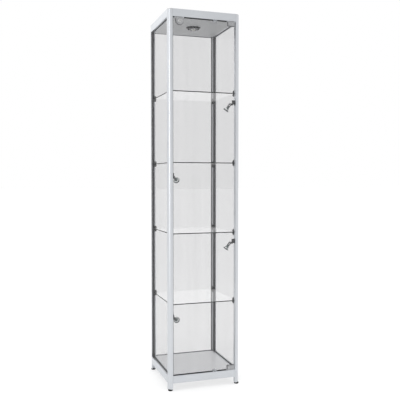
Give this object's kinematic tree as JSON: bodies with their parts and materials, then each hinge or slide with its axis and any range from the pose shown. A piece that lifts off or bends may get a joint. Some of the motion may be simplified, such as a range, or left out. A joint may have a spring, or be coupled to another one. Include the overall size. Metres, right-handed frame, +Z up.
{
  "type": "glass display tower",
  "caption": "Free-standing square glass display tower with an aluminium corner-post frame, glass shelves, a pivot-hung glass door with a cam lock, small spotlights and levelling feet.",
  "frame": {"origin": "on the floor, at the centre of the square footprint, at the height of the undersides of the levelling feet", "axes": "+Z up, the door faces -Y and is hung on the +X side"},
  "size_m": [0.4, 0.4, 2],
  "materials": {
    "aluminium": "natural satin anodised",
    "board": "satin light grey coated board",
    "deck": "light grey laminate",
    "glass": "clear toughened float glass",
    "black_plastic": "fine moulded grain",
    "rubber": "matt",
    "hinge": "satin",
    "chrome": "polished",
    "lamp": "grey-green metallic",
    "bracket": "black satin",
    "clear_plastic": "translucent"
  },
  "bodies": {
    "frame": {"post_front_left": "aluminium", "post_front_right": "aluminium", "post_back_left": "aluminium", "post_back_right": "aluminium", "rail_bottom_front": "aluminium", "rail_bottom_right": "aluminium", "rail_bottom_back": "aluminium", "rail_bottom_left": "aluminium", "rail_top_front": "aluminium", "rail_top_right": "aluminium", "rail_top_back": "aluminium", "rail_top_left": "aluminium", "base_deck": "deck", "ceiling_panel": "board", "top_cover": "aluminium", "glass_left": "glass", "glass_right": "glass", "glass_back": "glass", "pivot_bush_bottom": "black_plastic", "pivot_bush_top": "black_plastic", "door_bumper": "clear_plastic", "spot_right_upper_bracket": "bracket", "spot_left_upper_bracket": "bracket", "spot_right_lower_bracket": "bracket", "spot_left_lower_bracket": "bracket", "downlight_can": "chrome"},
    "door": {"door_glass": "glass", "door_clamp_bottom": "hinge", "door_clamp_top": "hinge", "lock_housing": "chrome"},
    "lock_core": {"lock_core": "hinge"},
    "shelf_1": {"shelf_1": "glass", "shelf_clip_1_front_left": "black_plastic", "shelf_clip_1_front_right": "black_plastic", "shelf_clip_1_back_left": "black_plastic", "shelf_clip_1_back_right": "black_plastic"},
    "shelf_2": {"shelf_2": "glass", "shelf_clip_2_front_left": "black_plastic", "shelf_clip_2_front_right": "black_plastic", "shelf_clip_2_back_left": "black_plastic", "shelf_clip_2_back_right": "black_plastic"},
    "shelf_3": {"shelf_3": "glass", "shelf_clip_3_front_left": "black_plastic", "shelf_clip_3_front_right": "black_plastic", "shelf_clip_3_back_left": "black_plastic", "shelf_clip_3_back_right": "black_plastic"},
    "shelf_4": {"shelf_4": "glass", "shelf_clip_4_front_left": "black_plastic", "shelf_clip_4_front_right": "black_plastic", "shelf_clip_4_back_left": "black_plastic", "shelf_clip_4_back_right": "black_plastic"},
    "spot_right_upper": {"spot_right_upper_head": "lamp"},
    "spot_left_upper": {"spot_left_upper_head": "lamp"},
    "spot_right_lower": {"spot_right_lower_head": "lamp"},
    "spot_left_lower": {"spot_left_lower_head": "lamp"},
    "downlight_lamp": {"downlight_lamp": "chrome"},
    "foot_front_left": {"foot_front_left": "rubber"},
    "foot_front_right": {"foot_front_right": "rubber"},
    "foot_back_left": {"foot_back_left": "rubber"},
    "foot_back_right": {"foot_back_right": "rubber"}
  },
  "joints": [
    {"name": "door_hinge", "type": "hinge", "parent": "frame", "child": "door", "pos_m": [0.164, -0.1915, 1.02], "axis": [0, 0, 1], "range_deg": [0, 100]},
    {"name": "lock_turn", "type": "hinge", "parent": "door", "child": "lock_core", "pos_m": [-0.137, -0.1915, 1.939], "axis": [0, 1, 0], "range_deg": [0, 90]},
    {"name": "shelf_1_height", "type": "slide", "parent": "frame", "child": "shelf_1", "axis": [0, 0, 1], "range_m": [-0.01, 0.2]},
    {"name": "shelf_2_height", "type": "slide", "parent": "frame", "child": "shelf_2", "axis": [0, 0, 1], "range_m": [-0.01, 0.2]},
    {"name": "shelf_3_height", "type": "slide", "parent": "frame", "child": "shelf_3", "axis": [0, 0, 1], "range_m": [-0.01, 0.2]},
    {"name": "shelf_4_height", "type": "slide", "parent": "frame", "child": "shelf_4", "axis": [0, 0, 1], "range_m": [-0.01, 0.2]},
    {"name": "spot_right_upper_tilt", "type": "hinge", "parent": "frame", "child": "spot_right_upper", "pos_m": [0.15396, -0.17153, 1.521], "axis": [-0.342, -0.9397, 0], "range_deg": [-35, 30]},
    {"name": "spot_left_upper_tilt", "type": "hinge", "parent": "frame", "child": "spot_left_upper", "pos_m": [-0.15915, -0.16439, 1.128], "axis": [-0.788, 0.6157, 0], "range_deg": [-35, 30]},
    {"name": "spot_right_lower_tilt", "type": "hinge", "parent": "frame", "child": "spot_right_lower", "pos_m": [0.15396, -0.17153, 0.771], "axis": [-0.342, -0.9397, 0], "range_deg": [-35, 30]},
    {"name": "spot_left_lower_tilt", "type": "hinge", "parent": "frame", "child": "spot_left_lower", "pos_m": [-0.15915, -0.16439, 0.378], "axis": [-0.788, 0.6157, 0], "range_deg": [-35, 30]},
    {"name": "downlight_tilt", "type": "hinge", "parent": "frame", "child": "downlight_lamp", "pos_m": [0, 0, 1.959], "axis": [1, 0, 0], "range_deg": [-20, 20]},
    {"name": "foot_front_left_level", "type": "slide", "parent": "frame", "child": "foot_front_left", "axis": [0, 0, 1], "range_m": [-0.01, 0]},
    {"name": "foot_front_right_level", "type": "slide", "parent": "frame", "child": "foot_front_right", "axis": [0, 0, 1], "range_m": [-0.01, 0]},
    {"name": "foot_back_left_level", "type": "slide", "parent": "frame", "child": "foot_back_left", "axis": [0, 0, 1], "range_m": [-0.01, 0]},
    {"name": "foot_back_right_level", "type": "slide", "parent": "frame", "child": "foot_back_right", "axis": [0, 0, 1], "range_m": [-0.01, 0]}
  ]
}
